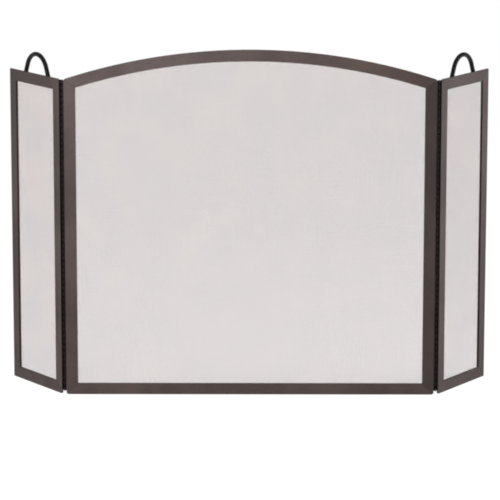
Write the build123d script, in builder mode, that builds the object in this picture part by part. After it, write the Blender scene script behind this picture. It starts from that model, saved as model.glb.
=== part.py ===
"""Three-panel folding fireplace screen: an arched centre panel with two narrow wings.

Each panel is a mitred frame of flat steel bar with woven wire mesh held against its
rear face by thin retainer strips and small screws. Each wing hangs on a full-height
continuous hinge and carries a bent rod handle behind its top rail.

Millimetres. X runs to the right, Y to the back, Z up. The origin is on the underside
of the centre panel's bottom rail, midway along it and in the middle of its thickness.
"""
from build123d import *
from dataclasses import dataclass
from math import cos, radians, sin, sqrt, tan
import os

# ---------------------------------------------------------------- driving dimensions
# Panels
centre_width = 805.0
side_height = 697.5          # height of the wings and of the centre panel's corners
crown_height = 762.0         # height of the centre panel at the middle of its arch
wing_width = 205.0
left_fold = 54.8             # degrees that each wing is folded back from flat, at rest
right_fold = 56.5
hinge_gap = 8.4              # space between the centre and wing stiles when flat

# Flat bar of the frames
bar_width = 25.4
bar_thickness = 3.2
bar_edge_radius = 0.5
hinge_corner_radius = 5.0    # rounding of the frame corners beside a hinge
free_corner_radius = 2.0     # rounding of the wings' outer corners

# Wire mesh and the strips that hold it
mesh_thickness = 0.8
mesh_overlap = 11.0          # how far the mesh reaches over the bar, all round
retainer_width = 11.4
retainer_thickness = 2.0
retainer_setback = 1.0       # from the edge of the opening
retainer_edge_radius = 0.3
screw_spacing = 125.0        # largest distance between two retainer screws
screw_corner_distance = 22.0  # from a retainer's outer corner to its nearest screw

# Continuous hinges
leaf_thickness = 1.2
leaf_clearance = 2.0         # between a leaf and the retainer beside it
barrel_radius = 2.5
pin_radius = 1.4
pin_clearance = 0.05
pin_head_radius = 2.1
pin_head_height = 0.9
knuckle_count = 103          # odd, so that both end knuckles are on the centre leaf
knuckle_gap = 0.3
barrel_clearance = 0.35      # between a barrel and the notch in the other leaf
hinge_bottom = 8.0           # hinge ends above the floor by this much
hinge_top_drop = 2.0         # and below the corner by this much
hinge_screw_count = 9
hinge_screw_end = 30.0       # from the end of the leaf to its first screw

# Screws
screw_radius = 1.5
hole_clearance = 0.05
screw_grip = 2.4             # length of screw in the bar
screw_tip_clearance = 0.3    # between a screw's tip and the bottom of its hole
pan_head_radius = 2.8
pan_head_height = 1.5
pan_head_rounding = 0.6
flat_head_radius = 2.6
sink_angle = 82.0
recess_length = 3.0
recess_width = 0.6
recess_depth = 0.7

# Handles
rod_radius = 5.0
bow_radius = 42.0            # of the rod's centre line
bow_centre_height = -0.3     # above the rail's top edge
leg_splay = 23.0             # degrees that each leg leans outwards
foot_clearance = 3.0         # between a foot and the retainer below it, along the leg's axis
foot_rounding = 1.0
weld_flat = 0.4              # depth of the flat where the rod is welded to the rail

# ---------------------------------------------------------------- derived places
front_y = -bar_thickness / 2
axis_depth = bar_thickness + leaf_thickness      # hinge axis behind the front faces
axis_x = (centre_width + hinge_gap) / 2
axis_y = front_y + axis_depth
edge_to_axis = hinge_gap / 2
hinge_length = side_height - hinge_bottom - hinge_top_drop
knuckle_length = hinge_length / knuckle_count
bore_radius = pin_radius + pin_clearance
hole_radius = screw_radius + hole_clearance
retainer_inset = bar_width - retainer_setback - retainer_width
leaf_overlap = retainer_inset - leaf_clearance      # width of leaf that lies on the stile
leaf_reach = edge_to_axis + leaf_overlap
screw_inset = retainer_inset + retainer_width / 2
mesh_inset = bar_width - mesh_overlap

SIDES = ("bottom", "right", "top", "left")


@dataclass(frozen=True)
class Panel:
    """One framed panel, in its front face's own coordinates: x along it, y up."""

    name: str
    front: Plane
    low_x: float
    high_x: float
    crown: float
    left_corner_radius: float
    right_corner_radius: float

    @property
    def middle(self):
        return (self.low_x + self.high_x) / 2

    @property
    def arch_radius(self):
        half = (self.high_x - self.low_x) / 2
        rise = self.crown - side_height
        return (half**2 + rise**2) / (2 * rise)

    def top_at(self, x, inset):
        """Height of the top edge, moved in by inset, at x."""
        if self.crown == side_height:
            return side_height - inset
        centre_z = self.crown - self.arch_radius
        return centre_z + sqrt((self.arch_radius - inset) ** 2 - (x - self.middle) ** 2)

    def corners(self, inset):
        """Bottom left, bottom right, top right and top left corners, moved in by inset."""
        low, high = self.low_x + inset, self.high_x - inset
        return [(low, inset), (high, inset),
                (high, self.top_at(high, inset)), (low, self.top_at(low, inset))]

    def top_edge(self, inset):
        """Draw the top edge, moved in by inset, from its right end to its left end."""
        _, _, right, left = self.corners(inset)
        if self.crown == side_height:
            Line(right, left)
        else:
            ThreePointArc(right, (self.middle, self.crown - inset), left)

    @property
    def facing(self):
        """Axis that points out of the front face."""
        return Axis(self.front.origin, self.front.z_dir)

    @property
    def hinge_edges(self):
        """Each edge that carries a hinge: its x, and the direction from it into the panel."""
        if self.name == "centre":
            return [(self.low_x, 1), (self.high_x, -1)]
        return [(self.high_x, -1)] if self.name == "left_wing" else [(self.low_x, 1)]

    def plane_at(self, depth):
        """Plane parallel to the front face, depth behind it, facing the front."""
        return self.front.offset(-depth)

    def rear_plane_at(self, depth):
        """Plane depth behind the front face that faces the back, with x reversed."""
        plane = self.plane_at(depth)
        return Plane(origin=plane.origin, x_dir=-plane.x_dir, z_dir=-plane.z_dir)


def wing_front(side, fold):
    """Front face plane of a wing, with its origin level with the hinge axis."""
    turn = radians(fold)
    normal = Vector(side * sin(turn), -cos(turn), 0)
    along = Vector(cos(turn), side * sin(turn), 0)
    axis = Vector(side * axis_x, axis_y, 0)
    return Plane(origin=axis + normal * axis_depth, x_dir=along, z_dir=normal)


centre = Panel("centre", Plane(origin=(0, front_y, 0), x_dir=(1, 0, 0), z_dir=(0, -1, 0)),
               -centre_width / 2, centre_width / 2, crown_height,
               hinge_corner_radius, hinge_corner_radius)
left_wing = Panel("left_wing", wing_front(-1, left_fold),
                  -edge_to_axis - wing_width, -edge_to_axis, side_height,
                  free_corner_radius, hinge_corner_radius)
right_wing = Panel("right_wing", wing_front(1, right_fold),
                   edge_to_axis, edge_to_axis + wing_width, side_height,
                   hinge_corner_radius, free_corner_radius)

finished = {}


def keep(name, part):
    """Label a finished piece and keep it for export."""
    part.label = name
    finished[name] = part


# ---------------------------------------------------------------- shared shapes
def draw_strip(panel, side, outer, inner):
    """Sketch one mitred side of a panel, between two insets from its outside edge."""
    first = SIDES.index(side)
    a, b = panel.corners(outer)[first], panel.corners(outer)[(first + 1) % 4]
    c, d = panel.corners(inner)[(first + 1) % 4], panel.corners(inner)[first]
    with BuildLine() as strip:
        if side == "top":
            panel.top_edge(outer)
            panel.top_edge(inner)
        else:
            Line(a, b)
            Line(c, d)
        Line(b, c)
        Line(d, a)
    make_face(strip.edges())


def draw_sheet(panel, inset):
    """Sketch the whole outline of a panel, moved in by inset."""
    low_left, low_right, top_right, top_left = panel.corners(inset)
    with BuildLine() as sheet:
        Polyline(top_left, low_left, low_right, top_right)
        panel.top_edge(inset)
    make_face(sheet.edges())


def spaced(start, end, largest):
    """Evenly spaced places from start to end, no further apart than largest."""
    steps = int((end - start) // largest) + 1
    return [start + (end - start) * i / steps for i in range(steps + 1)]


def retainer_screw_places(panel):
    """Screw places along the middle of each retainer, as x and height on the panel."""
    low, high = panel.low_x + screw_inset, panel.high_x - screw_inset
    near_x = panel.low_x + retainer_inset + screw_corner_distance
    far_x = panel.high_x - retainer_inset - screw_corner_distance
    low_z = retainer_inset + screw_corner_distance
    high_z = panel.top_at(low, screw_inset) - screw_corner_distance
    places = []
    for x in spaced(near_x, far_x, screw_spacing):
        places.append((x, screw_inset))
        places.append((x, panel.top_at(x, screw_inset)))
    for z in spaced(low_z, high_z, screw_spacing):
        places.append((low, z))
        places.append((high, z))
    return places


def hinge_screw_places(edge):
    """Screw places up the hinge leaf on one of a panel's hinge edges."""
    edge_x, inwards = edge
    x = edge_x + inwards * leaf_overlap / 2
    first = hinge_bottom + hinge_screw_end
    last = hinge_bottom + hinge_length - hinge_screw_end
    step = (last - first) / (hinge_screw_count - 1)
    return [(x, first + i * step) for i in range(hinge_screw_count)]


def seen_from_rear(places):
    """The same places in the coordinates of a plane that faces the back."""
    return [(-x, z) for x, z in places]


# ---------------------------------------------------------------- frames
def bar_name(panel, side):
    """Name of one frame bar, such as bottom_rail or inner_stile."""
    if side == "bottom":
        return "bottom_rail"
    if side == "top":
        return "arch_rail" if panel is centre else "top_rail"
    if panel is centre:
        return f"{side}_stile"
    hinge_side = "right" if panel is left_wing else "left"
    return "inner_stile" if side == hinge_side else "outer_stile"


def build_bar(panel, side):
    """One mitred frame bar with rounded outside corners, eased edges and blind screw holes."""
    places = retainer_screw_places(panel)
    for edge in panel.hinge_edges:
        places += hinge_screw_places(edge)
    with BuildPart() as bar:
        with BuildSketch(panel.front):
            draw_strip(panel, side, 0, bar_width)
        extrude(amount=-bar_thickness)
        with BuildSketch(panel.front) as outline:
            draw_sheet(panel, 0)
            fillet(outline.vertices().sort_by(Axis.X)[:2], radius=panel.left_corner_radius)
            fillet(outline.vertices().sort_by(Axis.X)[-2:], radius=panel.right_corner_radius)
        extrude(amount=-bar_thickness, mode=Mode.INTERSECT)
        fillet(bar.edges(), radius=bar_edge_radius)
        with Locations(panel.rear_plane_at(bar_thickness)):
            with Locations(*seen_from_rear(places)):
                Hole(radius=hole_radius, depth=screw_grip + screw_tip_clearance)
    keep(f"{panel.name}_{bar_name(panel, side)}", bar.part)


# ---------------------------------------------------------------- mesh and retainers
def build_mesh(panel):
    """The mesh sheet, lying on the rear of the frame, with holes for the retainer screws."""
    with BuildPart() as mesh:
        with BuildSketch(panel.plane_at(bar_thickness)):
            draw_sheet(panel, mesh_inset)
        extrude(amount=-mesh_thickness)
        with Locations(panel.rear_plane_at(bar_thickness + mesh_thickness)):
            with Locations(*seen_from_rear(retainer_screw_places(panel))):
                Hole(radius=hole_radius)
    keep(f"{panel.name}_mesh", mesh.part)


def build_retainer(panel, side):
    """One mitred strip that clamps an edge of the mesh to the rear of the frame."""
    depth = bar_thickness + mesh_thickness
    with BuildPart() as retainer:
        with BuildSketch(panel.plane_at(depth)):
            draw_strip(panel, side, retainer_inset, retainer_inset + retainer_width)
        extrude(amount=-retainer_thickness)
        rear_face = retainer.faces().sort_by(panel.facing)[0]
        fillet(rear_face.edges(), radius=retainer_edge_radius)
        with Locations(panel.rear_plane_at(depth + retainer_thickness)):
            with Locations(*seen_from_rear(retainer_screw_places(panel))):
                Hole(radius=hole_radius)
    name = bar_name(panel, side).replace("_rail", "").replace("_stile", "")
    keep(f"{panel.name}_{name}_retainer", retainer.part)


def cut_cross_recess(places):
    """Cut a cross recess into the screw heads at these places, on the plane in force."""
    with Locations(*places):
        for turn in (0, 90):
            Box(recess_length, recess_width, 2 * recess_depth,
                rotation=(0, 0, turn), mode=Mode.SUBTRACT)


def build_retainer_screws(panel):
    """The pan-head screws of one panel's retainers, as separate solids."""
    places = seen_from_rear(retainer_screw_places(panel))
    depth = bar_thickness + mesh_thickness + retainer_thickness
    with BuildPart() as screws:
        with Locations(panel.rear_plane_at(depth)):
            with Locations(*places):
                Cylinder(pan_head_radius, pan_head_height,
                         align=(Align.CENTER, Align.CENTER, Align.MIN))
        crowns = screws.faces().sort_by(panel.facing)[:len(places)]
        fillet(crowns.edges(), radius=pan_head_rounding)
        with Locations(panel.rear_plane_at(depth)):
            with Locations(*places):
                Cylinder(screw_radius, mesh_thickness + retainer_thickness + screw_grip,
                         align=(Align.CENTER, Align.CENTER, Align.MAX))
        with Locations(panel.rear_plane_at(depth + pan_head_height)):
            cut_cross_recess(places)
    keep(f"{panel.name}_retainer_screws", screws.part)


# ---------------------------------------------------------------- continuous hinges
def knuckle_bottoms(first):
    """Heights above the foot of the hinge at which every second knuckle starts."""
    return [i * knuckle_length for i in range(first, knuckle_count, 2)]


def build_leaf(name, panel, side, edge, first_knuckle):
    """A hinge leaf: a plate on the rear of a stile, rolled into every second knuckle.

    side is -1 for the hinge on the left of the screen and 1 for the one on its right.
    The leaf is drawn in plan about the hinge axis, with x running out over its panel.
    """
    into_panel = panel.front.x_dir * edge[1]
    plan = Plane(origin=(side * axis_x, axis_y, hinge_bottom), x_dir=into_panel, z_dir=(0, 0, 1))
    plate_side = Align.MAX if edge[1] > 0 else Align.MIN
    with BuildPart() as leaf:
        with BuildSketch(plan):
            Rectangle(leaf_reach, leaf_thickness, align=(Align.MIN, plate_side))
            Circle(barrel_radius)
            Circle(bore_radius, mode=Mode.SUBTRACT)
        extrude(amount=hinge_length)
        for bottom in knuckle_bottoms(1 - first_knuckle):
            with BuildSketch(plan.offset(bottom - knuckle_gap / 2)):
                Circle(barrel_radius + barrel_clearance)
        extrude(amount=knuckle_length + knuckle_gap, mode=Mode.SUBTRACT)
        with Locations(panel.rear_plane_at(axis_depth)):
            with Locations(*seen_from_rear(hinge_screw_places(edge))):
                CounterSinkHole(radius=hole_radius, counter_sink_radius=flat_head_radius,
                                counter_sink_angle=sink_angle)
    keep(name, leaf.part)


def build_leaf_screws(name, panel, edge):
    """The flat-head screws of one hinge leaf, as separate solids."""
    places = seen_from_rear(hinge_screw_places(edge))
    neck_radius = flat_head_radius - leaf_thickness * tan(radians(sink_angle / 2))
    inwards = (Align.CENTER, Align.CENTER, Align.MAX)
    with BuildPart() as screws:
        with Locations(panel.rear_plane_at(axis_depth)):
            with Locations(*places):
                Cone(neck_radius, flat_head_radius, leaf_thickness, align=inwards)
                Cylinder(screw_radius, leaf_thickness + screw_grip, align=inwards)
            cut_cross_recess(places)
    keep(name, screws.part)


def build_pin(name, side):
    """The hinge's full-length pin, with a rounded head at each end."""
    with BuildPart() as pin:
        with Locations((side * axis_x, axis_y, hinge_bottom)):
            Cylinder(pin_radius, hinge_length, align=(Align.CENTER, Align.CENTER, Align.MIN))
            Cylinder(pin_head_radius, pin_head_height,
                     align=(Align.CENTER, Align.CENTER, Align.MAX))
        with Locations((side * axis_x, axis_y, hinge_bottom + hinge_length)):
            Cylinder(pin_head_radius, pin_head_height,
                     align=(Align.CENTER, Align.CENTER, Align.MIN))
        ends = pin.faces().filter_by(Axis.Z).sort_by(Axis.Z)
        fillet(ends[0].edges() + ends[-1].edges(), radius=pin_head_height / 2)
    keep(name, pin.part)


# ---------------------------------------------------------------- handles
def build_handle(panel):
    """A bowed rod with splayed legs that run down behind the wing's top rail."""
    middle_x = panel.middle
    splay = radians(leg_splay)
    bow_centre = side_height + bow_centre_height
    knee_z = bow_centre + bow_radius * sin(splay)
    foot_z = side_height - (retainer_inset - foot_clearance)
    knee_reach = bow_radius * cos(splay)
    foot_reach = knee_reach + (knee_z - foot_z) * tan(splay)
    rod_plane = panel.plane_at(bar_thickness + rod_radius - weld_flat)
    with BuildPart() as handle:
        with BuildLine(rod_plane) as route:
            Line((middle_x + foot_reach, foot_z), (middle_x + knee_reach, knee_z))
            CenterArc((middle_x, bow_centre), bow_radius, leg_splay, 180 - 2 * leg_splay)
            Line((middle_x - knee_reach, knee_z), (middle_x - foot_reach, foot_z))
        with BuildSketch(Plane(origin=route.line @ 0, z_dir=route.line % 0)):
            Circle(rod_radius)
        sweep()
        fillet(handle.faces().sort_by(Axis.Z)[:2].edges(), radius=foot_rounding)
        with BuildSketch(panel.front):
            draw_strip(panel, "top", 0, bar_width)
        extrude(amount=-bar_thickness, mode=Mode.SUBTRACT)
    keep(f"{panel.name}_handle", handle.part)


# ---------------------------------------------------------------- the whole screen
for framed in (centre, left_wing, right_wing):
    for bar_side in SIDES:
        build_bar(framed, bar_side)
        build_retainer(framed, bar_side)
    build_mesh(framed)
    build_retainer_screws(framed)

for hinge_name, hinge_side, centre_edge, wing in (
        ("left_hinge", -1, centre.hinge_edges[0], left_wing),
        ("right_hinge", 1, centre.hinge_edges[1], right_wing)):
    wing_edge = wing.hinge_edges[0]
    build_leaf(f"{hinge_name}_centre_leaf", centre, hinge_side, centre_edge, 0)
    build_leaf(f"{hinge_name}_wing_leaf", wing, hinge_side, wing_edge, 1)
    build_leaf_screws(f"{hinge_name}_centre_screws", centre, centre_edge)
    build_leaf_screws(f"{hinge_name}_wing_screws", wing, wing_edge)
    build_pin(f"{hinge_name}_pin", hinge_side)
    build_handle(wing)

os.makedirs("parts", exist_ok=True)
for piece_name, piece in finished.items():
    export_step(piece, f"parts/{piece_name}.step")
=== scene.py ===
"""Three-panel folding fireplace screen: finishes, woven wire and weld beads.

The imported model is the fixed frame. Its bars, strips, hinges, screws and handles keep
their shapes and are painted here. The plain sheets that stand in for the mesh are
replaced by woven wire, and weld beads join the handles to the wings' top rails.
Metres. X runs to the right, Y to the back and Z up.
"""

import logging
import math
from dataclasses import dataclass, field, replace
from enum import Enum
from typing import ClassVar

import bpy
import numpy as np
from mathutils import Matrix, Vector
from mathutils.bvhtree import BVHTree


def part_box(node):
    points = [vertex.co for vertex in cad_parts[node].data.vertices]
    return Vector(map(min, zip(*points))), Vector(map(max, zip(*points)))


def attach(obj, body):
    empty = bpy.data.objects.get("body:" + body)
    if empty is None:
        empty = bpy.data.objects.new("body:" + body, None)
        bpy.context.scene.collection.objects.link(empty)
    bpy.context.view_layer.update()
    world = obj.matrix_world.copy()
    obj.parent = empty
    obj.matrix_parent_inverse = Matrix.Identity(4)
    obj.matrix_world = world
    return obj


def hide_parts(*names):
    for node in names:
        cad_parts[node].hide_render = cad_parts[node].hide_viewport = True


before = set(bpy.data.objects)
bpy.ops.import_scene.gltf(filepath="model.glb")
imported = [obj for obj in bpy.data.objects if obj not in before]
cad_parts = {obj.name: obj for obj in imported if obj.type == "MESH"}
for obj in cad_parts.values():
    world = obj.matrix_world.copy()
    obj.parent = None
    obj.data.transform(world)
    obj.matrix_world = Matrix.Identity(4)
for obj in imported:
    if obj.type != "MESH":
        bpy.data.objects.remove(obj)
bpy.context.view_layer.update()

log = logging.getLogger("fireplace_screen")

Colour = tuple[float, float, float]
Pair = tuple[float, float]
Piece = bpy.types.Object
Node = bpy.types.Node
Socket = bpy.types.NodeSocket
MM = 0.001
UP = Vector((0.0, 0.0, 1.0))
WHITE = (1.0, 1.0, 1.0)


def put_in_scene(name: str, data: bpy.types.ID) -> Piece:
    """Makes an object and links it to the scene.

    Args:
        name: the object's name.
        data: its mesh, lamp or camera.

    Returns:
        The new object.
    """
    made = bpy.data.objects.new(name, data)
    bpy.context.scene.collection.objects.link(made)
    return made


class Wing(Enum):
    """The two hinged wings, by the side of the centre panel that they hang on."""

    LEFT = "left"
    RIGHT = "right"

    @property
    def body(self) -> str:
        """Name of the moving body that the wing is."""
        return f"{self.value}_wing"


class WireRun(Enum):
    """The two directions that the wires of a weave run in."""

    WARP = "upright"
    WEFT = "level"


# ---------------- shader wiring


@dataclass
class Wiring:
    """Adds and joins the nodes of the tree of a material, a world or a group."""

    tree: bpy.types.NodeTree

    def node(self, kind: str, **settings: object) -> Node:
        """Adds one node.

        Args:
            kind: the node's type, without its ShaderNode prefix.
            settings: attributes of the node to set.

        Returns:
            The new node.
        """
        made = self.tree.nodes.new(f"ShaderNode{kind}")
        for name, value in settings.items():
            setattr(made, name, value)
        return made

    def feed(self, socket: Socket, source: object) -> None:
        """Sets a socket to a plain value, or joins another node's output to it.

        Args:
            socket: the input to feed.
            source: an output socket, or a number, colour or vector.
        """
        if isinstance(source, Socket):
            self.tree.links.new(source, socket)
        elif isinstance(source, tuple) and len(source) == 3 and socket.type == "RGBA":
            socket.default_value = (*source, 1.0)
        else:
            socket.default_value = source

    def math(self, operation: str, *values: object, clamp: bool = False) -> Socket:
        """Works out one number.

        Args:
            operation: the Math node's operation.
            values: its inputs in order.
            clamp: whether the result is held between 0 and 1.

        Returns:
            The output socket.
        """
        made = self.node("Math", operation=operation, use_clamp=clamp)
        for socket, value in zip(made.inputs, values):
            self.feed(socket, value)
        return made.outputs[0]

    def stretch(
        self, value: object, low: float, high: float, new_low: float = 0.0, new_high: float = 1.0
    ) -> Socket:
        """Maps a value from one range to another, smoothly, and clamps it.

        Args:
            value: the number to map.
            low: value that becomes new_low.
            high: value that becomes new_high.
            new_low: result at low.
            new_high: result at high.

        Returns:
            The output socket.
        """
        made = self.node("MapRange", interpolation_type="SMOOTHSTEP")
        for socket, number in zip(made.inputs, (value, low, high, new_low, new_high)):
            self.feed(socket, number)
        return made.outputs[0]

    def noise(self, place: Socket, scale: object, detail: float) -> Socket:
        """Cloudy noise from 0 to 1.

        Args:
            place: the coordinates.
            scale: cycles per metre.
            detail: octaves of finer noise.

        Returns:
            The output socket.
        """
        made = self.node("TexNoise")
        self.feed(made.inputs["Vector"], place)
        self.feed(made.inputs["Scale"], scale)
        self.feed(made.inputs["Detail"], detail)
        return made.outputs["Fac"]

    def place(self) -> Socket:
        """The piece's own coordinates, which move with it."""
        return self.node("TexCoord").outputs["Object"]

    def along_direction(self, normal: Socket, direction: Socket) -> Socket:
        """How far a normal looks along a direction.

        Args:
            normal: the normal.
            direction: a unit vector.

        Returns:
            1 where they agree and -1 where they are opposite.
        """
        facing = self.node("VectorMath", operation="DOT_PRODUCT")
        self.feed(facing.inputs[0], normal)
        self.feed(facing.inputs[1], direction)
        return facing.outputs["Value"]

    def roughen(self, shader: Node, height: Socket, distance: float) -> None:
        """Bumps a shader's surface.

        Args:
            shader: the shader.
            height: the relief, from 0 to 1.
            distance: how high 1 stands.
        """
        bump = self.node("Bump")
        bump.inputs["Distance"].default_value = distance
        self.feed(bump.inputs["Height"], height)
        self.feed(shader.inputs["Normal"], bump.outputs[0])

    def blend(self, share: object, first: object, second: object) -> Socket:
        """Mixes two colours.

        Args:
            share: how much of the second colour shows, from 0 to 1.
            first: colour at 0.
            second: colour at 1.

        Returns:
            The output socket.
        """
        made = self.node("Mix", data_type="RGBA")
        self.feed(made.inputs[0], share)
        self.feed(made.inputs[6], first)
        self.feed(made.inputs[7], second)
        return made.outputs[2]


class Effect(Wiring):
    """A shader node group that several finishes share, built when it is made."""

    name = "effect"
    inputs: dict[str, float] = {}
    outputs: tuple[str, ...] = ()

    def __init__(self) -> None:
        """Makes the group with its sockets and fills it."""
        super().__init__(bpy.data.node_groups.new(self.name, "ShaderNodeTree"))
        new_socket = self.tree.interface.new_socket
        for name, value in self.inputs.items():
            made = new_socket(name=name, in_out="INPUT", socket_type="NodeSocketFloat")
            made.default_value = value
        for name in self.outputs:
            new_socket(name=name, in_out="OUTPUT", socket_type="NodeSocketFloat")
        self.given = self.tree.nodes.new("NodeGroupInput").outputs
        self.wanted = self.tree.nodes.new("NodeGroupOutput").inputs
        self.fill()

    def fill(self) -> None:
        """Adds the nodes between the given values and the wanted results."""
        raise NotImplementedError

    def use(self, wiring: Wiring, **values: float) -> bpy.types.bpy_prop_collection:
        """Places the group in a material.

        Args:
            wiring: the material's wiring.
            values: the group's inputs, with underscores for spaces.

        Returns:
            The group's outputs, by name.
        """
        made = wiring.node("Group")
        made.node_tree = self.tree
        for name, value in values.items():
            made.inputs[name.replace("_", " ")].default_value = value
        return made.outputs


class EdgeWear(Effect):
    """Marks outside edges where hands and handling have rubbed the paint."""

    name = "edge_wear"
    inputs = {"Edge Width": 0.6 * MM, "Amount": 1.0, "Patch Scale": 40.0}
    outputs = ("Wear",)
    sharpness = (0.995, 0.86)
    patch_cut = (0.46, 0.66)
    chip_cut = (0.35, 0.62)
    chip_scale = 900.0

    def fill(self) -> None:
        """Compares the rounded normal with the true one, and breaks the line up."""
        place = self.place()
        rounded = self.node("Bevel", samples=4)
        self.feed(rounded.inputs["Radius"], self.given["Edge Width"])
        true_normal = self.node("NewGeometry").outputs["Normal"]
        facing = self.along_direction(rounded.outputs[0], true_normal)
        edge = self.stretch(facing, *self.sharpness)
        patchy = self.noise(place, self.given["Patch Scale"], 4.0)
        patches = self.stretch(patchy, *self.patch_cut)
        chips = self.stretch(self.noise(place, self.chip_scale, 3.0), *self.chip_cut)
        worn = self.math("MULTIPLY", self.math("MULTIPLY", edge, patches), chips)
        wear = self.math("MULTIPLY", worn, self.given["Amount"], clamp=True)
        self.feed(self.wanted["Wear"], wear)


class Mottle(Effect):
    """Slow and quick changes of tone that stop a surface from looking flat."""

    name = "mottle"
    inputs = {"Broad Scale": 9.0, "Fine Scale": 160.0, "Fine Share": 0.4}
    outputs = ("Tone", "Smudge")
    noise_range = (0.3, 0.7)
    smudge_cut = (0.52, 0.72)
    smudge_fineness = 3.0

    def fill(self) -> None:
        """Adds broad and fine noise, and thresholds a third one into smudges."""
        place, given = self.place(), self.given
        broad = self.noise(place, given["Broad Scale"], 3.0)
        fine = self.noise(place, given["Fine Scale"], 4.0)
        broad, fine = (
            self.stretch(noise, *self.noise_range, -1.0, 1.0) for noise in (broad, fine)
        )
        fine = self.math("MULTIPLY", fine, given["Fine Share"])
        self.feed(self.wanted["Tone"], self.math("ADD", broad, fine))
        scale = self.math("MULTIPLY", given["Broad Scale"], self.smudge_fineness)
        smudges = self.stretch(self.noise(place, scale, 5.0), *self.smudge_cut)
        self.feed(self.wanted["Smudge"], smudges)


class PowderGrain(Effect):
    """Height of the fine orange peel and grit that baked powder paint dries to."""

    name = "powder_grain"
    inputs = {"Peel Scale": 420.0, "Grit Scale": 1900.0, "Grit Share": 0.5}
    outputs = ("Height",)

    def fill(self) -> None:
        """Adds soft peel and finer grit."""
        place, given = self.place(), self.given
        peel = self.noise(place, given["Peel Scale"], 1.0)
        grit = self.noise(place, given["Grit Scale"], 2.0)
        grit = self.math("MULTIPLY", grit, given["Grit Share"])
        self.feed(self.wanted["Height"], self.math("ADD", peel, grit))


class DrawMarks(Effect):
    """Fine lines along Z, as on drawn rod, turned heads and rubbed knuckles."""

    name = "draw_marks"
    inputs = {"Line Scale": 1600.0, "Run": 0.03}
    outputs = ("Lines",)

    def fill(self) -> None:
        """Stretches noise along Z."""
        parts = self.node("SeparateXYZ")
        self.feed(parts.inputs[0], self.place())
        joined = self.node("CombineXYZ")
        for axis in "XY":
            self.feed(joined.inputs[axis], parts.outputs[axis])
        run = self.math("MULTIPLY", parts.outputs["Z"], self.given["Run"])
        self.feed(joined.inputs["Z"], run)
        lines = self.noise(joined.outputs[0], self.given["Line Scale"], 2.0)
        self.feed(self.wanted["Lines"], lines)


class Lint(Effect):
    """Pale dust that settles on faces that look up."""

    name = "lint"
    inputs = {"Amount": 0.3, "Patch Scale": 60.0}
    outputs = ("Dust",)
    lean = (0.4, 0.95)
    patch_cut = (0.3, 0.75)

    def fill(self) -> None:
        """Multiplies the upward lean of the face by patchy noise."""
        parts = self.node("SeparateXYZ")
        self.feed(parts.inputs[0], self.node("NewGeometry").outputs["Normal"])
        upward = self.stretch(parts.outputs["Z"], *self.lean)
        patchy = self.noise(self.place(), self.given["Patch Scale"], 6.0)
        lying = self.math("MULTIPLY", upward, self.stretch(patchy, *self.patch_cut))
        dust = self.math("MULTIPLY", lying, self.given["Amount"], clamp=True)
        self.feed(self.wanted["Dust"], dust)


class EdgeFaces(Effect):
    """Marks the narrow sides of a flat bar, for the painted shade that darkens them."""

    name = "edge_faces"
    inputs = {"Across": 0.0, "Back": 1.0}
    outputs = ("Share",)
    turn = (0.3, 0.9)

    def fill(self) -> None:
        """Compares the bar's own normal with the direction that its back looks in."""
        direction = self.node("CombineXYZ")
        self.feed(direction.inputs["X"], self.given["Across"])
        self.feed(direction.inputs["Y"], self.given["Back"])
        own_normal = self.node("TexCoord").outputs["Normal"]
        facing = self.along_direction(own_normal, direction.outputs[0])
        # Painted shade mask: 1 on the narrow sides, which are darkened, and 0 on the broad faces.
        share = self.stretch(self.math("ABSOLUTE", facing), *self.turn, 1.0, 0.0)
        self.feed(self.wanted["Share"], share)


@dataclass
class Effects:
    """One of each shared effect, made before the finishes that use them."""

    edge_wear: EdgeWear = field(default_factory=EdgeWear)
    mottle: Mottle = field(default_factory=Mottle)
    powder_grain: PowderGrain = field(default_factory=PowderGrain)
    draw_marks: DrawMarks = field(default_factory=DrawMarks)
    lint: Lint = field(default_factory=Lint)
    edge_faces: EdgeFaces = field(default_factory=EdgeFaces)


# ---------------- finishes


def new_material(name: str) -> tuple[bpy.types.Material, Wiring, Node]:
    """Makes a material that holds one Principled shader.

    Args:
        name: the finish's name.

    Returns:
        The material, its wiring and the shader node.
    """
    material = bpy.data.materials.new(name)
    material.use_nodes = True
    material.node_tree.nodes.clear()
    wiring = Wiring(material.node_tree)
    shader = wiring.node("BsdfPrincipled")
    output = wiring.node("OutputMaterial")
    wiring.feed(output.inputs["Surface"], shader.outputs[0])
    return material, wiring, shader


def uneven(
    wiring: Wiring, tone: Socket, colour: Colour, spread: float, reach: float
) -> Socket:
    """A colour that wanders between a darker and a lighter tone.

    Args:
        wiring: the material's wiring.
        tone: the mottle's tone.
        colour: the colour in between.
        spread: how much darker and lighter it gets, as a share.
        reach: the tone that gives the full spread.

    Returns:
        The output socket.
    """
    dark = tuple(c * (1.0 - spread) for c in colour)
    light = tuple(c * (1.0 + spread) for c in colour)
    return wiring.blend(wiring.stretch(tone, -reach, reach), dark, light)


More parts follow.
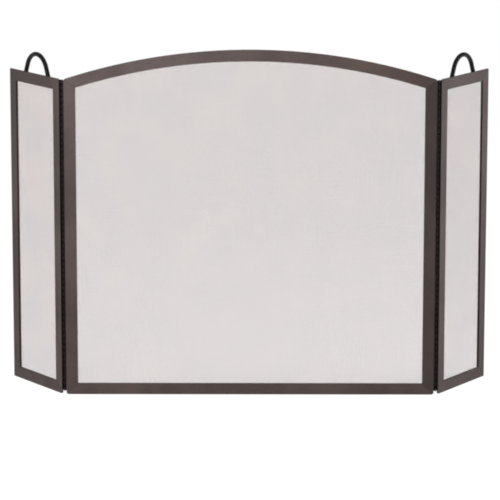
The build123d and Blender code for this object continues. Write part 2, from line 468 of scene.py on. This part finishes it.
@dataclass(frozen=True)
class PaintedSteel:
    """Baked paint over steel: a textured film, uneven in tone, rubbed at its edges."""

    name: str
    colour: Colour
    tone_spread: float = 0.10
    tone_reach: float = 1.2
    roughness: float = 0.50
    roughness_spread: float = 0.07
    peel_scale: float = 420.0
    peel_height: float = 0.05 * MM
    wear_amount: float = 0.35
    wear_width: float = 0.6 * MM
    bare_colour: Colour = (0.16, 0.14, 0.125)
    dust_amount: float = 0.10
    dust_colour: Colour = (0.30, 0.28, 0.26)
    specular: float = 0.5
    back: Pair | None = None
    # Painted shade for a bar's narrow sides: the near-black colour and low gloss they are
    # darkened to.
    edge_colour: Colour = (0.010, 0.008, 0.0075)
    edge_specular: float = 0.04
    dust_dulling: float = 0.4
    wear_polish: float = 0.12
    wear_metal: float = 0.8

    def build(self, effects: Effects) -> bpy.types.Material:
        """Makes the material.

        Args:
            effects: the shared node groups.

        Returns:
            The finished material.
        """
        material, wiring, shader = new_material(self.name)
        mottle = effects.mottle.use(wiring)
        edges = {"Edge_Width": self.wear_width, "Amount": self.wear_amount}
        wear = effects.edge_wear.use(wiring, **edges)["Wear"]
        dust = effects.lint.use(wiring, Amount=self.dust_amount)["Dust"]
        paint = uneven(wiring, mottle["Tone"], self.colour, self.tone_spread, self.tone_reach)
        dusty = wiring.blend(dust, paint, self.dust_colour)
        finished = wiring.blend(wear, dusty, self.bare_colour)
        shader.inputs["Specular IOR Level"].default_value = self.specular
        # Painted shade: a bar's narrow sides are darkened to near black and lose most of their
        # gloss.
        if self.back is not None:
            edge = effects.edge_faces.use(wiring, Across=self.back[0], Back=self.back[1])
            share = edge["Share"]
            finished = wiring.blend(share, finished, self.edge_colour)
            less = self.edge_specular - self.specular
            gloss = wiring.math("MULTIPLY_ADD", share, less, self.specular)
            wiring.feed(shader.inputs["Specular IOR Level"], gloss)
        wiring.feed(shader.inputs["Base Color"], finished)
        smudge = wiring.math("MULTIPLY", mottle["Smudge"], -self.roughness_spread)
        roughness = wiring.math("ADD", smudge, self.roughness + self.roughness_spread / 2)
        dull = wiring.math("MULTIPLY_ADD", dust, self.dust_dulling, roughness)
        rubbed = wiring.math("MULTIPLY_ADD", wear, -self.wear_polish, dull)
        wiring.feed(shader.inputs["Roughness"], rubbed)
        wiring.feed(shader.inputs["Metallic"], wiring.math("MULTIPLY", wear, self.wear_metal))
        grain = effects.powder_grain.use(wiring, Peel_Scale=self.peel_scale)
        wiring.roughen(shader, grain["Height"], self.peel_height)
        return material


@dataclass(frozen=True)
class DarkenedSteel:
    """Steel with a thin black or plated skin, marked by drawing or turning."""

    name: str
    colour: Colour
    rubbed_colour: Colour
    metallic: float = 0.9
    roughness: float = 0.38
    line_height: float = 0.01 * MM
    wear_amount: float = 0.8
    wear_width: float = 0.25 * MM
    darkest: float = 0.75
    tone_reach: float = 1.2
    line_roughness: float = 0.16
    smudge_roughness: float = 0.12

    def build(self, effects: Effects) -> bpy.types.Material:
        """Makes the material.

        Args:
            effects: the shared node groups.

        Returns:
            The finished material.
        """
        material, wiring, shader = new_material(self.name)
        mottle = effects.mottle.use(wiring, Broad_Scale=70.0, Fine_Scale=700.0)
        lines = effects.draw_marks.use(wiring)["Lines"]
        edges = {"Edge_Width": self.wear_width, "Amount": self.wear_amount}
        wear = effects.edge_wear.use(wiring, Patch_Scale=150.0, **edges)["Wear"]
        dark = tuple(c * self.darkest for c in self.colour)
        tone = wiring.stretch(mottle["Tone"], -self.tone_reach, self.tone_reach)
        skin = wiring.blend(tone, dark, self.colour)
        wiring.feed(shader.inputs["Base Color"], wiring.blend(wear, skin, self.rubbed_colour))
        smooth = self.roughness - self.line_roughness / 2
        lined = wiring.math("MULTIPLY_ADD", lines, self.line_roughness, smooth)
        roughness = wiring.math("MULTIPLY_ADD", mottle["Smudge"], self.smudge_roughness, lined)
        wiring.feed(shader.inputs["Roughness"], roughness)
        shader.inputs["Metallic"].default_value = self.metallic
        wiring.roughen(shader, lines, self.line_height)
        return material


@dataclass(frozen=True)
class PaintedWire:
    """Thin paint on flat-rolled wire, uneven over the sheet."""

    name: str
    colour: Colour
    tone_spread: float = 0.35
    tone_reach: float = 1.6
    roughness: float = 0.60
    smudge_gloss: float = 0.15
    grain_height: float = 0.008 * MM
    specular: float = 0.3

    def build(self, effects: Effects) -> bpy.types.Material:
        """Makes the material.

        Args:
            effects: the shared node groups.

        Returns:
            The finished material.
        """
        material, wiring, shader = new_material(self.name)
        mottle = effects.mottle.use(wiring, Broad_Scale=12.0, Fine_Scale=200.0, Fine_Share=0.9)
        paint = uneven(wiring, mottle["Tone"], self.colour, self.tone_spread, self.tone_reach)
        wiring.feed(shader.inputs["Base Color"], paint)
        gloss = wiring.math("MULTIPLY_ADD", mottle["Smudge"], -self.smudge_gloss, self.roughness)
        wiring.feed(shader.inputs["Roughness"], gloss)
        shader.inputs["Specular IOR Level"].default_value = self.specular
        grain = effects.powder_grain.use(wiring, Peel_Scale=2600.0, Grit_Scale=7000.0)
        wiring.roughen(shader, grain["Height"], self.grain_height)
        return material


class Finish(Enum):
    """The finishes that nodes and pieces share, each with the record's slot for it."""

    STRIP = ("strip", "retainer_paint")
    # Lit and shaded copies of one hinge paint: painted light and painted shade.
    LIT_LEAF = ("lit_leaf", "hinge_paint")
    BLACK_LEAF = ("black_leaf", "hinge_paint")
    HANDLE = ("handle", "handle_paint")
    WIRE = ("wire", "woven_wire")
    SCREW = ("screw", "screw_black_oxide")
    PIN = ("pin", "hinge_pin_steel")

    def __init__(self, recipe: str, slot: str) -> None:
        """Keeps the recipe's name and the slot.

        Args:
            recipe: field of Recipes that makes the finish.
            slot: the record's material slot.
        """
        self.recipe = recipe
        self.slot = slot


@dataclass(frozen=True)
class Recipes:
    """How each finish is made."""

    bar: PaintedSteel = PaintedSteel(
        "frame_bar_paint", colour=(0.0385, 0.0255, 0.023), tone_spread=0.2, specular=0.2
    )
    strip: PaintedSteel = PaintedSteel(
        "retainer_strip_paint",
        colour=(0.036, 0.025, 0.022),
        roughness=0.46,
        peel_scale=600.0,
        peel_height=0.03 * MM,
        wear_width=0.4 * MM,
        specular=0.25,
    )
    # The leaves get lit and shaded copies of one hinge paint; this lighter copy is painted light.
    lit_leaf: PaintedSteel = PaintedSteel(
        "hinge_leaf_painted_light",
        colour=(0.009, 0.0075, 0.007),
        roughness=0.45,
        peel_scale=900.0,
        peel_height=0.015 * MM,
        wear_amount=0.6,
        wear_width=0.35 * MM,
        bare_colour=(0.04, 0.036, 0.033),
        dust_amount=0.02,
        specular=0.06,
    )
    # Painted shade: the wing leaf's copy of the hinge paint, darkened to near black.
    black_leaf: PaintedSteel = replace(
        lit_leaf,
        name="hinge_leaf_painted_shade",
        colour=(0.002, 0.0018, 0.0018),
        roughness=0.5,
        wear_amount=0.35,
        bare_colour=(0.03, 0.027, 0.025),
        dust_amount=0.01,
        specular=0.03,
    )
    handle: PaintedSteel = PaintedSteel(
        "handle_rod_paint",
        colour=(0.006, 0.005, 0.0045),
        roughness=0.24,
        peel_scale=260.0,
        peel_height=0.02 * MM,
        wear_amount=0.4,
        dust_amount=0.02,
        specular=0.08,
    )
    wire: PaintedWire = PaintedWire("woven_wire_paint", colour=(0.125, 0.050, 0.040))
    screw: DarkenedSteel = DarkenedSteel(
        "screw_black_oxide", colour=(0.05, 0.047, 0.045), rubbed_colour=(0.28, 0.26, 0.25)
    )
    pin: DarkenedSteel = DarkenedSteel(
        "hinge_pin_steel", colour=(0.03, 0.028, 0.027), rubbed_colour=(0.12, 0.115, 0.11)
    )


class Paintshop:
    """Builds each finish once and puts it on CAD nodes and new pieces."""

    def __init__(self, recipes: Recipes) -> None:
        """Makes the materials.

        Args:
            recipes: how each finish is made.
        """
        self.recipes = recipes
        self.effects = Effects()
        self.materials = {
            finish: getattr(recipes, finish.recipe).build(self.effects) for finish in Finish
        }

    def paint_bar(self, node: str, back: Vector, tone: float, hinge_gap_shade: bool) -> None:
        """Paints one flat bar, whose narrow sides get painted shade, darker than its faces.

        Args:
            node: the bar's name.
            back: the direction that the bar's back looks in.
            tone: painted light and shade on this bar, a factor on its colour around 1.
            hinge_gap_shade: whether the painted shade on its narrow sides is as black as the
                hinge beside them.
        """
        bar = self.recipes.bar
        # Painted light and shade: tone scales the bar's colour, and beside a hinge its sides get
        # near-black painted shade.
        recipe = replace(
            bar,
            name=f"{node}_paint",
            colour=tuple(c * tone for c in bar.colour),
            back=(back.x, back.y),
            edge_colour=self.recipes.black_leaf.colour if hinge_gap_shade else bar.edge_colour,
        )
        self.cover(node, recipe.build(self.effects))

    def paint_node(self, node: str, finish: Finish) -> None:
        """Gives a CAD node its finish.

        Args:
            node: the node's name.
            finish: the finish.
        """
        self.cover(node, self.materials[finish])

    def cover(self, node: str, material: bpy.types.Material) -> None:
        """Puts a material on every slot of a CAD node.

        Args:
            node: the node's name.
            material: the material.
        """
        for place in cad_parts[node].material_slots:
            place.material = material
        log.info("painted %s with %s", node, material.name)

    def paint_piece(self, piece: Piece, finish: Finish) -> None:
        """Gives a new piece its finish.

        Args:
            piece: the piece.
            finish: the finish.
        """
        piece.data.materials.append(self.materials[finish])


# ---------------- woven wire


@dataclass(frozen=True)
class SheetPlane:
    """The plane of a flat CAD piece and its extents along its own axes."""

    along: Vector
    rearward: Vector
    low: Vector
    high: Vector
    shoulder: float
    slack: ClassVar[float] = 0.5 * MM

    @classmethod
    def of_node(cls, node: str) -> "SheetPlane":
        """Measures a flat piece.

        Args:
            node: the CAD node's name.

        Returns:
            Its plane. Its coordinates are distance along, distance rearward and height.
        """
        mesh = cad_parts[node].data
        widest = max(mesh.polygons, key=lambda face: face.area)
        rearward = widest.normal.copy()
        rearward.z = 0.0
        rearward.normalize()
        if rearward.y < 0.0:
            rearward.negate()
        along = rearward.cross(UP)
        points = [(v.co.dot(along), v.co.dot(rearward), v.co.z) for v in mesh.vertices]
        low = Vector(min(p[axis] for p in points) for axis in range(3))
        high = Vector(max(p[axis] for p in points) for axis in range(3))
        shoulder = max(p[2] for p in points if p[0] < low.x + cls.slack)
        return cls(along, rearward, low, high, shoulder)

    def top(self, along: np.ndarray) -> np.ndarray:
        """Height of the sheet's top edge, an arc or a level line.

        Args:
            along: distances along the sheet.

        Returns:
            The heights there.
        """
        rise = self.high.z - self.shoulder
        if rise < self.slack:
            return np.full_like(along, self.high.z)
        half = (self.high.x - self.low.x) / 2
        radius = (half**2 + rise**2) / (2 * rise)
        off = along - (self.low.x + self.high.x) / 2
        return self.high.z - radius + np.sqrt(np.maximum(radius**2 - off**2, 0.0))

    def world(self, along: np.ndarray, rearward: np.ndarray, height: np.ndarray) -> np.ndarray:
        """Points in the frame's coordinates.

        Args:
            along: distances along the sheet.
            rearward: distances towards the rear.
            height: heights above the floor.

        Returns:
            An array of points, one to a row.
        """
        flat = np.outer(along, self.along) + np.outer(rearward, self.rearward)
        flat[:, 2] += height
        return flat


@dataclass
class WovenMesh:
    """Plain-woven wire cut to one panel's sheet, in pieces of whole wires."""

    panel: str
    seed: int
    pitch: float = 1.814 * MM
    wire_width: float = 0.4 * MM
    wire_thickness: float = 0.2 * MM
    crimp: float = 0.15 * MM
    sides: int = 3
    edge_margin: float = 0.4 * MM
    wander: float = 0.10 * MM
    wander_length: Pair = (0.12, 0.25)
    spacing_scatter: float = 0.07 * MM
    jitter: float = 0.22 * MM
    arch_samples: int = 2001
    most_triangles: int = 190000
    pieces: list[Piece] = field(default_factory=list)

    def build(self) -> None:
        """Weaves the sheet: makes the wires of both runs, and replaces the CAD sheet."""
        sheet = SheetPlane.of_node(f"{self.panel}_mesh")
        rng = np.random.default_rng(self.seed)
        uprights = self.places(sheet.low.x, sheet.high.x, rng)
        levels = self.places(sheet.low.z, sheet.high.z, rng)
        for run in WireRun:
            wires = self.wires(sheet, run, uprights, levels, rng)
            for number, share in enumerate(self.split(wires), start=1):
                self.pieces.append(self.piece(sheet, run, number, share))

    def places(self, low: float, high: float, rng: np.random.Generator) -> np.ndarray:
        """Spaces the wires of one run evenly, with the scatter of a loom.

        Args:
            low: lower edge of the sheet.
            high: upper edge of the sheet.
            rng: source of the scatter.

        Returns:
            The wires' places in order.
        """
        inside = high - low - 2 * self.edge_margin
        count = int(inside / self.pitch) + 1
        first = (low + high) / 2 - (count - 1) * self.pitch / 2
        scatter = rng.uniform(-self.spacing_scatter, self.spacing_scatter, count)
        return first + np.arange(count) * self.pitch + scatter

    def wires(
        self,
        sheet: SheetPlane,
        run: WireRun,
        uprights: np.ndarray,
        levels: np.ndarray,
        rng: np.random.Generator,
    ) -> list[np.ndarray]:
        """Centre lines of the wires of one run, each bent over and under the other run.

        Args:
            sheet: the sheet that they fill.
            run: which run.
            uprights: places of the upright wires.
            levels: heights of the level wires.
            rng: source of the wires' slow wander and of their jitter.

        Returns:
            One array a wire, with a row of along, rearward and height for each bend.
        """
        middle = (sheet.low.y + sheet.high.y) / 2
        warp = run is WireRun.WARP
        across, crossings = (uprights, levels) if warp else (levels, uprights)
        lines = []
        for index, place in enumerate(across):
            phase, length = rng.uniform(0.0, math.tau), rng.uniform(*self.wander_length)
            if warp:
                begin, end = sheet.low.z, float(sheet.top(np.array([place]))[0])
            else:
                begin, end = self.under_arch(sheet, place)
            inside = (crossings > begin + self.edge_margin) & (crossings < end - self.edge_margin)
            if not inside.any():
                continue
            where = crossings[inside]
            side = np.where((np.flatnonzero(inside) + index) % 2 == 0, 1.0, -1.0)
            bend = side * (self.crimp if warp else -self.crimp)
            trim = self.edge_margin / 2
            where = np.concatenate(([begin + trim], where, [end - trim]))
            bend = np.concatenate(([0.0], bend, [0.0]))
            drift = self.wander * np.sin(where * math.tau / length + phase)
            other = np.full_like(where, place) + drift
            other[1:-1] += rng.uniform(-self.jitter, self.jitter, len(where) - 2)
            first, last = (other, where) if warp else (where, other)
            lines.append(np.column_stack((first, middle + bend, last)))
        return lines

    def under_arch(self, sheet: SheetPlane, height: float) -> Pair:
        """Ends of a level wire, shorter where the arch cuts it.

        Args:
            sheet: the sheet.
            height: the wire's height.

        Returns:
            Its lowest and highest distance along the sheet.
        """
        samples = np.linspace(sheet.low.x, sheet.high.x, self.arch_samples)
        under = samples[sheet.top(samples) > height + self.edge_margin]
        if len(under) == 0:
            return 0.0, 0.0
        return float(under[0]), float(under[-1])

    def split(self, wires: list[np.ndarray]) -> list[list[np.ndarray]]:
        """Cuts a run into equal pieces that each stay under the triangle limit.

        Args:
            wires: the run's wires in order.

        Returns:
            The pieces' wires, in order.
        """
        triangles = sum(2 * self.sides * len(wire) for wire in wires)
        count = math.ceil(triangles / self.most_triangles)
        cuts = [round(len(wires) * part / count) for part in range(count + 1)]
        return [wires[a:b] for a, b in zip(cuts, cuts[1:])]

    def piece(
        self, sheet: SheetPlane, run: WireRun, number: int, wires: list[np.ndarray]
    ) -> Piece:
        """Makes one mesh of closed wires.

        Args:
            sheet: the sheet that they fill.
            run: which way they run.
            number: the piece's number within its run.
            wires: their centre lines.

        Returns:
            The new object.
        """
        radius = self.wire_width / 2 / math.cos(math.pi / self.sides / 2)
        angles = np.arange(self.sides) * math.tau / self.sides - math.pi / 2
        flatness = self.wire_thickness / self.wire_width
        sideways, rearward = radius * np.cos(angles), radius * flatness * np.sin(angles)
        corners, quads, caps, start = [], [], [], 0
        ring = np.arange(self.sides)
        outward = 1 if run is WireRun.WARP else -1
        for wire in wires:
            rings = len(wire)
            place = np.repeat(wire, self.sides, axis=0)
            place[:, 0 if run is WireRun.WARP else 2] += np.tile(sideways, rings)
            place[:, 1] += np.tile(rearward, rings)
            corners.append(sheet.world(place[:, 0], place[:, 1], place[:, 2]))
            base = start + np.arange(rings - 1)[:, None] * self.sides
            near, far = base + ring, base + np.roll(ring, -1)
            quad = np.stack((near, far, far + self.sides, near + self.sides), axis=-1)
            quads.append(quad[..., ::outward].reshape(-1, 4))
            last = start + (rings - 1) * self.sides
            caps.extend((ring[::-outward] + start, ring[::outward] + last))
            start += rings * self.sides
        name = f"{self.panel}_mesh_{run.value}_wires_{number}"
        mesh = self.to_mesh(name, np.concatenate(corners), np.concatenate(quads), np.array(caps))
        self.lay_map(mesh, sheet)
        made = put_in_scene(name, mesh)
        log.info("wove %s: %d wires, %d points", name, len(wires), len(mesh.vertices))
        return made

    def to_mesh(
        self, name: str, corners: np.ndarray, quads: np.ndarray, caps: np.ndarray
    ) -> bpy.types.Mesh:
        """Fills a mesh from arrays.

        Args:
            name: the mesh's name.
            corners: the points.
            quads: four corners a face.
            caps: the wires' end faces.

        Returns:
            The mesh, smooth along the wires.
        """
        mesh = bpy.data.meshes.new(name)
        loops = np.concatenate((quads.ravel(), caps.ravel()))
        cap_starts = quads.size + np.arange(len(caps)) * self.sides
        starts = np.concatenate((np.arange(len(quads)) * 4, cap_starts))
        mesh.vertices.add(len(corners))
        mesh.vertices.foreach_set("co", corners.astype(np.float32).ravel())
        mesh.loops.add(len(loops))
        mesh.loops.foreach_set("vertex_index", loops.astype(np.int32))
        mesh.polygons.add(len(starts))
        mesh.polygons.foreach_set("loop_start", starts.astype(np.int32))
        mesh.polygons.foreach_set("use_smooth", np.ones(len(starts), dtype=bool))
        mesh.update(calc_edges=True)
        mesh.validate()
        return mesh

    @staticmethod
    def lay_map(mesh: bpy.types.Mesh, sheet: SheetPlane) -> None:
        """Gives the wires a flat map seen square on.

        Args:
            mesh: the wires.
            sheet: the sheet that they fill.
        """
        points = np.empty(len(mesh.vertices) * 3, dtype=np.float32)
        mesh.vertices.foreach_get("co", points)
        points = points.reshape(-1, 3)
        size = max(sheet.high.x - sheet.low.x, sheet.high.z - sheet.low.z)
        across = (points @ np.array(sheet.along) - sheet.low.x) / size
        upward = (points[:, 2] - sheet.low.z) / size
        index = np.empty(len(mesh.loops), dtype=np.int32)
        mesh.loops.foreach_get("vertex_index", index)
        layer = mesh.uv_layers.new(name="OFBake")
        flat = np.column_stack((across, upward))[index].astype(np.float32)
        layer.data.foreach_set("uv", flat.ravel())

    def dress(self, shop: Paintshop, body: str) -> None:
        """Paints the wires, and lets them ride on their panel in the sheet's place.

        Args:
            shop: the finishes.
            body: the body that the panel belongs to.
        """
        for piece in self.pieces:
            shop.paint_piece(piece, Finish.WIRE)
            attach(piece, body)
            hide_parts(f"{self.panel}_mesh")


# ---------------- handles


@dataclass
class Handle:
    """A bent rod behind a wing's top rail, with a weld bead down each side of each leg."""

    wing: Wing
    bead_radius: float = 1.5 * MM
    bead_step: float = 0.45 * MM
    ripple_length: float = 1.6 * MM
    ripple_height: float = 0.16 * MM
    bead_sides: int = 12
    fewest_rings: int = 8
    side_bite: float = 0.15 * MM
    back_bite: float = 0.2 * MM
    end_bluntness: int = 6
    end_area: float = 0.02
    foot_gap: float = 3.2 * MM
    end_gap: float = 0.8 * MM
    beads: list[Piece] = field(default_factory=list)

    def build(self) -> None:
        """Finds both legs where they pass behind the rail, and lays their beads."""
        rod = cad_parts[f"{self.wing.body}_handle"]
        rail = SheetPlane.of_node(f"{self.wing.body}_top_rail")
        tree = BVHTree.FromPolygons(
            [v.co for v in rod.data.vertices], [list(p.vertices) for p in rod.data.polygons]
        )
        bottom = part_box(f"{self.wing.body}_handle")[0][2] + self.foot_gap
        top = rail.high.z - self.end_gap
        for number, from_low in enumerate((True, False), start=1):
            lower = self.leg_edges(tree, rail, bottom, from_low)
            upper = self.leg_edges(tree, rail, top, from_low)
            for side in (0, 1):
                name = f"{self.wing.body}_handle_weld_{number}{'ab'[side]}"
                ends = (lower[side], bottom), (upper[side], top)
                self.beads.append(self.bead(name, rail, *ends, side))

    def leg_edges(
        self, tree: BVHTree, rail: SheetPlane, height: float, from_low: bool
    ) -> Pair:
        """Both sides of one leg at a height.

        Args:
            tree: the rod's surface.
            rail: the plane of the rail.
            height: where to measure.
            from_low: whether the leg is the one at the rail's low end.

        Returns:
            The leg's lower and upper distance along the rail.
        """
        depth = rail.high.y + self.bead_radius / 2
        middle = (rail.low.x + rail.high.x) / 2
        outer = rail.low.x if from_low else rail.high.x
        hits = []
        for begin, goal in ((outer, middle), (middle, outer)):
            origin = rail.along * begin + rail.rearward * depth + UP * height
            step = rail.along * (1.0 if goal > begin else -1.0)
            hits.append(tree.ray_cast(origin, step)[0].dot(rail.along))
        return min(hits), max(hits)

    def bead(
        self,
        name: str,
        rail: SheetPlane,
        low_end: Pair,
        high_end: Pair,
        side: int,
    ) -> Piece:
        """Makes one rippled bead in the corner between the rod and the rail.

        Args:
            name: the piece's name.
            rail: the plane of the rail.
            low_end: distance along the rail and height of the rod's side at the foot.
            high_end: the same at the rail's top.
            side: 0 for the leg's low side and 1 for its high side.

        Returns:
            The new object.
        """
        outward = -1.0 if side == 0 else 1.0
        (lower, bottom), (upper, top) = low_end, high_end
        length = math.hypot(top - bottom, upper - lower)
        rings = max(self.fewest_rings, round(length / self.bead_step))
        share = np.linspace(0.0, 1.0, rings)
        ripple = 1.0 - self.ripple_height / self.bead_radius * np.abs(
            np.sin(share * length / self.ripple_length * math.pi)
        )
        taper = 1.0 - (2.0 * share - 1.0) ** self.end_bluntness
        swell = np.sqrt(np.clip(taper, self.end_area, 1.0))
        radius = self.bead_radius * ripple * swell
        angles = np.arange(self.bead_sides) * math.tau / self.bead_sides
        along = lower + (upper - lower) * share + outward * self.side_bite
        height = bottom + (top - bottom) * share
        points, faces = [], []
        for index in range(rings):
            ring_along = along[index] + radius[index] * np.cos(angles)
            ring_back = rail.high.y + self.back_bite + radius[index] * np.sin(angles)
            level = np.full(self.bead_sides, height[index])
            points.append(rail.world(ring_along, ring_back, level))
        for index in range(rings - 1):
            for corner in range(self.bead_sides):
                following = (corner + 1) % self.bead_sides
                a, b = index * self.bead_sides + corner, index * self.bead_sides + following
                faces.append((a, b, b + self.bead_sides, a + self.bead_sides))
        faces.append(tuple(range(self.bead_sides))[::-1])
        faces.append(tuple((rings - 1) * self.bead_sides + c for c in range(self.bead_sides)))
        mesh = bpy.data.meshes.new(name)
        mesh.from_pydata(np.concatenate(points).tolist(), [], faces)
        mesh.polygons.foreach_set("use_smooth", [True] * len(mesh.polygons))
        log.info("welded %s", name)
        return put_in_scene(name, mesh)

    def dress(self, shop: Paintshop) -> None:
        """Paints the rod and its beads, which ride on the wing.

        Args:
            shop: the finishes.
        """
        shop.paint_node(f"{self.wing.body}_handle", Finish.HANDLE)
        for bead in self.beads:
            shop.paint_piece(bead, Finish.HANDLE)
            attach(bead, self.wing.body)


# ---------------- panels and hinges


@dataclass
class FramedPanel:
    """A mitred frame of flat bar with its mesh, the strips that hold it and their screws."""

    name: str
    body: str
    bars: tuple[str, ...]
    seed: int
    # Per bar, a factor on the paint's colour: painted light above 1, painted shade below 1.
    tones: dict[str, float]
    # The bar beside the hinge gets near-black painted shade on its narrow sides.
    hinge_bar: str = ""
    mesh: WovenMesh | None = None

    def build(self) -> None:
        """Weaves the panel's mesh; its bars, strips and screws are the frame's own."""
        self.mesh = WovenMesh(panel=self.name, seed=self.seed)
        self.mesh.build()

    def dress(self, shop: Paintshop) -> None:
        """Paints every piece of the panel.

        Args:
            shop: the finishes.
        """
        back = SheetPlane.of_node(f"{self.name}_mesh").rearward
        for bar in self.bars:
            # Each bar's tone is painted light and shade.
            tone = self.tones.get(bar, 1.0)
            shop.paint_bar(f"{self.name}_{bar}", back, tone, bar == self.hinge_bar)
            edge = bar.split("_")[0]
            shop.paint_node(f"{self.name}_{edge}_retainer", Finish.STRIP)
        shop.paint_node(f"{self.name}_retainer_screws", Finish.SCREW)
        self.mesh.dress(shop, self.body)


@dataclass
class PianoHinge:
    """A full-height hinge: two leaves, their screws and the pin."""

    side: Wing

    def dress(self, shop: Paintshop) -> None:
        """Paints the leaves, screws and pin.

        Args:
            shop: the finishes.
        """
        name = f"{self.side.value}_hinge"
        # Lit and shaded copies of one hinge paint: painted light on the centre leaf, painted
        # shade on the wing leaf.
        shop.paint_node(f"{name}_centre_leaf", Finish.LIT_LEAF)
        shop.paint_node(f"{name}_wing_leaf", Finish.BLACK_LEAF)
        for half in ("centre", "wing"):
            shop.paint_node(f"{name}_{half}_screws", Finish.SCREW)
        shop.paint_node(f"{name}_pin", Finish.PIN)


@dataclass
class FireplaceScreen:
    """The whole screen: a centre panel, two wings, two hinges and two handles."""

    wing_bars: tuple[str, ...] = ("inner_stile", "outer_stile", "top_rail", "bottom_rail")
    # Painted shade: the wings' top rails are darkened a little.
    wing_tones: dict[str, float] = field(default_factory=lambda: {"top_rail": 0.92})
    wing_seed: int = 23
    centre_bars: tuple[str, ...] = ("left_stile", "right_stile", "bottom_rail", "arch_rail")
    # Painted light on the arch and bottom rail, painted shade on the right stile.
    centre_tones: dict[str, float] = field(
        default_factory=lambda: {"arch_rail": 1.12, "bottom_rail": 1.1, "right_stile": 0.76}
    )
    centre_seed: int = 11

    def build(self, shop: Paintshop) -> None:
        """Builds and dresses the sub-assemblies in order.

        Args:
            shop: the finishes.
        """
        bars, seed, tones = self.centre_bars, self.centre_seed, self.centre_tones
        panels = [FramedPanel("centre", "centre_panel", bars, seed, tones)]
        bars, tones = self.wing_bars, self.wing_tones
        for seed, wing in enumerate(Wing, start=self.wing_seed):
            name = wing.body
            panels.append(FramedPanel(name, name, bars, seed, tones, "inner_stile"))
        for panel in panels:
            panel.build()
            panel.dress(shop)
        for wing in Wing:
            PianoHinge(wing).dress(shop)
            handle = Handle(wing)
            handle.build()
            handle.dress(shop)


# ---------------- studio and camera


@dataclass(frozen=True)
class SoftLight:
    """One large soft lamp that looks at a point of the screen."""

    name: str
    place: tuple[float, float, float]
    aim: tuple[float, float, float]
    width: float
    height: float
    power: float

    def build(self) -> None:
        """Makes the lamp."""
        lamp = bpy.data.lights.new(self.name, "AREA")
        lamp.shape = "RECTANGLE"
        lamp.size, lamp.size_y = self.width, self.height
        lamp.energy = self.power
        made = put_in_scene(self.name, lamp)
        made.location = self.place
        gaze = Vector(self.aim) - Vector(self.place)
        made.rotation_mode = "QUATERNION"
        made.rotation_quaternion = gaze.to_track_quat("-Z", "Y")
        log.info("lit %s", self.name)


@dataclass(frozen=True)
class Studio:
    """A pale glowing floor under a white sky, with soft lamps in front and to both sides."""

    floor_half: float = 14.0
    floor_drop: float = 0.3 * MM
    floor_colour: Colour = (0.25, 0.25, 0.25)
    floor_roughness: float = 0.95
    floor_glow: float = 0.885
    sky_strength: float = 0.5
    sky_seen: float = 1.03
    lamps: tuple[SoftLight, ...] = (
        SoftLight("front_softbox", (-0.4, -1.3, 0.85), (-0.1, 0.0, 0.45), 0.7, 0.7, 24.0),
        SoftLight("right_softbox", (2.2, 0.0, 0.8), (0.45, 0.08, 0.4), 0.6, 1.4, 38.0),
        SoftLight("left_softbox", (-2.2, 0.0, 0.8), (-0.45, 0.08, 0.4), 0.6, 1.4, 10.0),
    )

    def build(self) -> None:
        """Makes the floor, the sky and the lamps."""
        half = self.floor_half
        mesh = bpy.data.meshes.new("studio_floor")
        corners = [(-half, -half), (half, -half), (half, half), (-half, half)]
        mesh.from_pydata([(x, y, -self.floor_drop) for x, y in corners], [], [(0, 1, 2, 3)])
        put_in_scene("studio_floor", mesh)
        material, wiring, shader = new_material("floor_paper")
        wiring.feed(shader.inputs["Base Color"], self.floor_colour)
        shader.inputs["Roughness"].default_value = self.floor_roughness
        shader.inputs["Specular IOR Level"].default_value = 0.0
        wiring.feed(shader.inputs["Emission Color"], WHITE)
        shader.inputs["Emission Strength"].default_value = self.floor_glow
        mesh.materials.append(material)
        self.build_sky()
        for lamp in self.lamps:
            lamp.build()

    def build_sky(self) -> None:
        """Makes the sky, which looks white to the camera and lights the screen less."""
        world = bpy.data.worlds.new("studio_sky")
        world.use_nodes = True
        sky = world.node_tree.nodes["Background"]
        wiring = Wiring(world.node_tree)
        wiring.feed(sky.inputs["Color"], WHITE)
        seen = wiring.node("LightPath").outputs["Is Camera Ray"]
        strength = wiring.stretch(seen, 0.0, 1.0, self.sky_strength, self.sky_seen)
        wiring.feed(sky.inputs["Strength"], strength)
        bpy.context.scene.world = world
        settings = bpy.context.scene.view_settings
        settings.view_transform = "Standard"
        settings.look = "None"


@dataclass(frozen=True)
class StudioCamera:
    """A long lens a little above the screen, looking slightly down at it."""

    aside: float = 0.01194
    distance: float = 6.6514
    height: float = 1.66038
    pitch: float = math.radians(11.3674)
    yaw: float = math.radians(-0.1061)
    roll: float = math.radians(0.0554)
    focal_length: float = 224.56
    sensor: float = 36.0
    clip: Pair = (0.1, 100.0)
    filter_pixels: float = 2.0

    def build(self) -> None:
        """Makes the camera and sets it as the scene's."""
        lens = bpy.data.cameras.new("studio_camera")
        lens.lens, lens.sensor_width = self.focal_length, self.sensor
        lens.clip_start, lens.clip_end = self.clip
        made = put_in_scene("studio_camera", lens)
        level = math.cos(self.pitch)
        gaze = Vector(
            (math.sin(self.yaw) * level, math.cos(self.yaw) * level, -math.sin(self.pitch))
        )
        right = Vector((math.cos(self.yaw), -math.sin(self.yaw), 0.0))
        upward = right.cross(gaze)
        turned_right = right * math.cos(self.roll) + upward * math.sin(self.roll)
        turned_up = upward * math.cos(self.roll) - right * math.sin(self.roll)
        axes = Matrix((turned_right, turned_up, -gaze)).transposed().to_4x4()
        made.matrix_world = Matrix.Translation((self.aside, -self.distance, self.height)) @ axes
        bpy.context.scene.camera = made
        bpy.context.scene.cycles.filter_width = self.filter_pixels
        log.info("set up %s", made.name)


def main() -> None:
    """Builds the camera, the studio and the screen."""
    logging.basicConfig(level=logging.INFO, format="%(name)s: %(message)s")
    StudioCamera().build()
    Studio().build()
    FireplaceScreen().build(Paintshop(Recipes()))


if __name__ == "__main__":
    main()
